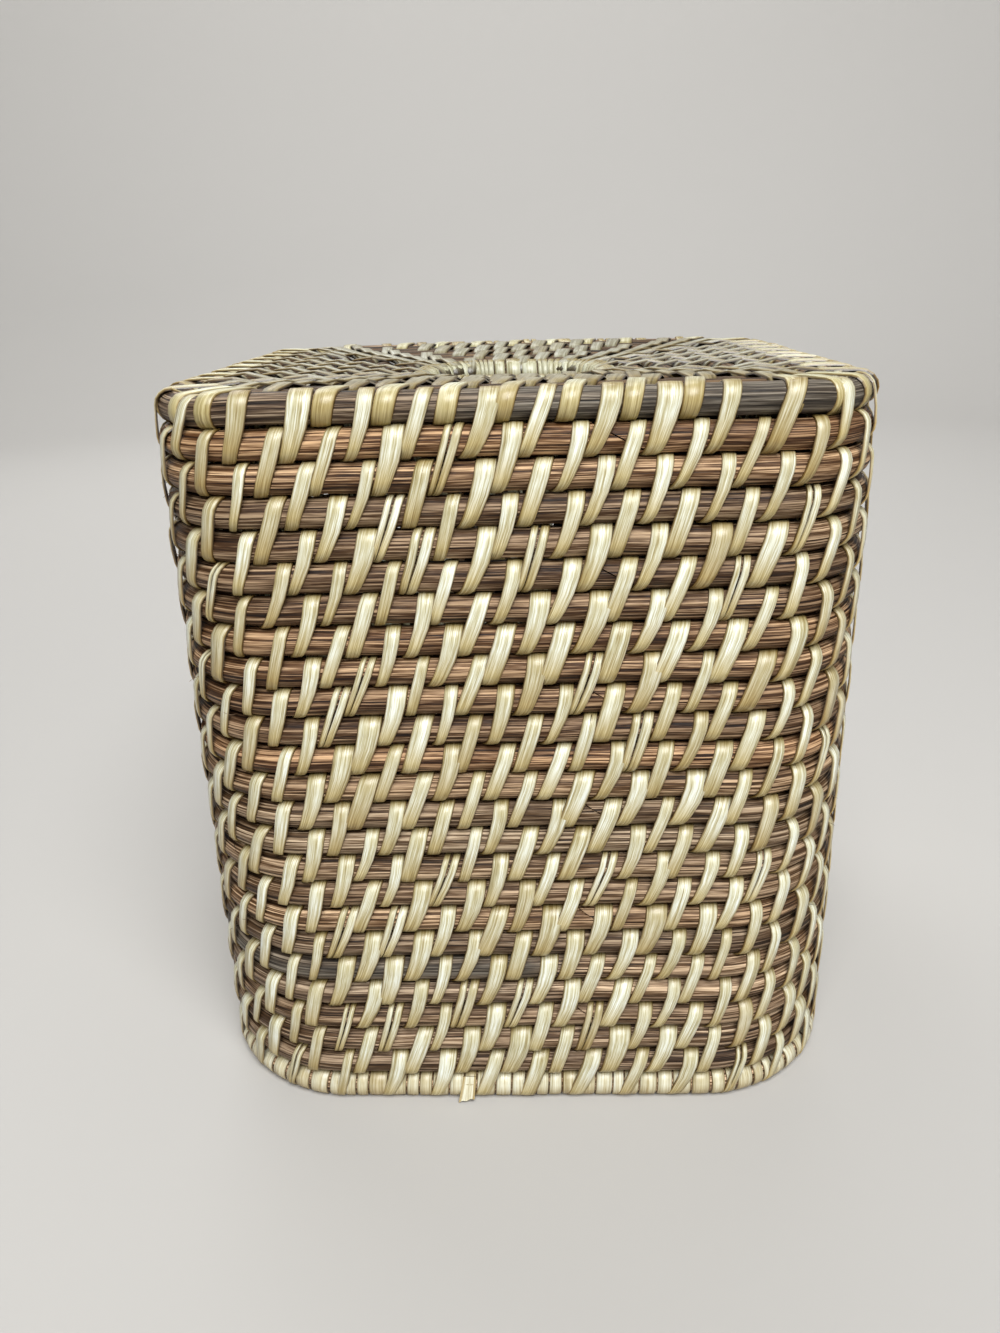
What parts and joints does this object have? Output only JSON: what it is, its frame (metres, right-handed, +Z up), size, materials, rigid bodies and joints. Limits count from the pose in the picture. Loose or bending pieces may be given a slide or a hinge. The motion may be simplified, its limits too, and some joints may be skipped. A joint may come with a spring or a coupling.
{
  "type": "tissue box cover",
  "caption": "Square open-bottomed tissue box cover of coiled rattan rods bound with split cane, with a rounded square opening in its slightly dished top.",
  "frame": {"origin": "middle of the base, in the plane the cover stands on", "axes": "+Z up through the opening, +X to the right and +Y to the back as seen from the pictured side"},
  "size_m": [0.1412, 0.1414, 0.1527],
  "materials": {
    "top_rattan": "natural rattan, worn satin lacquer",
    "upper_wall_rattan": "natural rattan, worn satin lacquer",
    "lower_wall_rattan": "weathered rattan, worn satin lacquer",
    "wall_cane_strip": "glossy split cane peel",
    "top_cane_strip": "glossy split cane peel",
    "opening_cane_strip": "glossy split cane peel",
    "base_cane_strip": "split cane peel, dulled by wear"
  },
  "bodies": {
    "root": {"opening_rim_rod": "top_rattan", "top_course_1": "top_rattan", "top_course_2": "top_rattan", "top_course_3": "top_rattan", "top_course_4": "top_rattan", "top_course_5": "top_rattan", "top_course_6": "top_rattan", "wall_course_01": "upper_wall_rattan", "wall_course_02": "upper_wall_rattan", "wall_course_03": "upper_wall_rattan", "wall_course_04": "upper_wall_rattan", "wall_course_05": "upper_wall_rattan", "wall_course_06": "upper_wall_rattan", "wall_course_07": "upper_wall_rattan", "wall_course_08": "upper_wall_rattan", "wall_course_09": "upper_wall_rattan", "wall_course_10": "upper_wall_rattan", "wall_course_11": "upper_wall_rattan", "wall_course_12": "upper_wall_rattan", "wall_course_13": "lower_wall_rattan", "wall_course_14": "lower_wall_rattan", "wall_course_15": "lower_wall_rattan", "wall_course_16": "lower_wall_rattan", "wall_course_17": "lower_wall_rattan", "wall_course_18": "lower_wall_rattan", "wall_course_19": "lower_wall_rattan", "wall_course_20": "lower_wall_rattan", "wall_course_21": "lower_wall_rattan", "wall_course_22": "lower_wall_rattan", "wall_course_23": "lower_wall_rattan", "wall_course_24": "lower_wall_rattan", "wall_course_25": "lower_wall_rattan", "inner_top_lashings": "top_cane_strip", "outer_top_lashings": "top_cane_strip", "edge_lashings": "wall_cane_strip", "wall_lashings_01": "wall_cane_strip", "wall_lashings_02": "wall_cane_strip", "wall_lashings_03": "wall_cane_strip", "wall_lashings_04": "wall_cane_strip", "wall_lashings_05": "wall_cane_strip", "wall_lashings_06": "wall_cane_strip", "wall_lashings_07": "wall_cane_strip", "wall_lashings_08": "wall_cane_strip", "wall_lashings_09": "wall_cane_strip", "wall_lashings_10": "wall_cane_strip", "wall_lashings_11": "wall_cane_strip", "wall_lashings_12": "wall_cane_strip", "opening_whipping": "opening_cane_strip", "base_whipping": "base_cane_strip"}
  },
  "joints": []
}
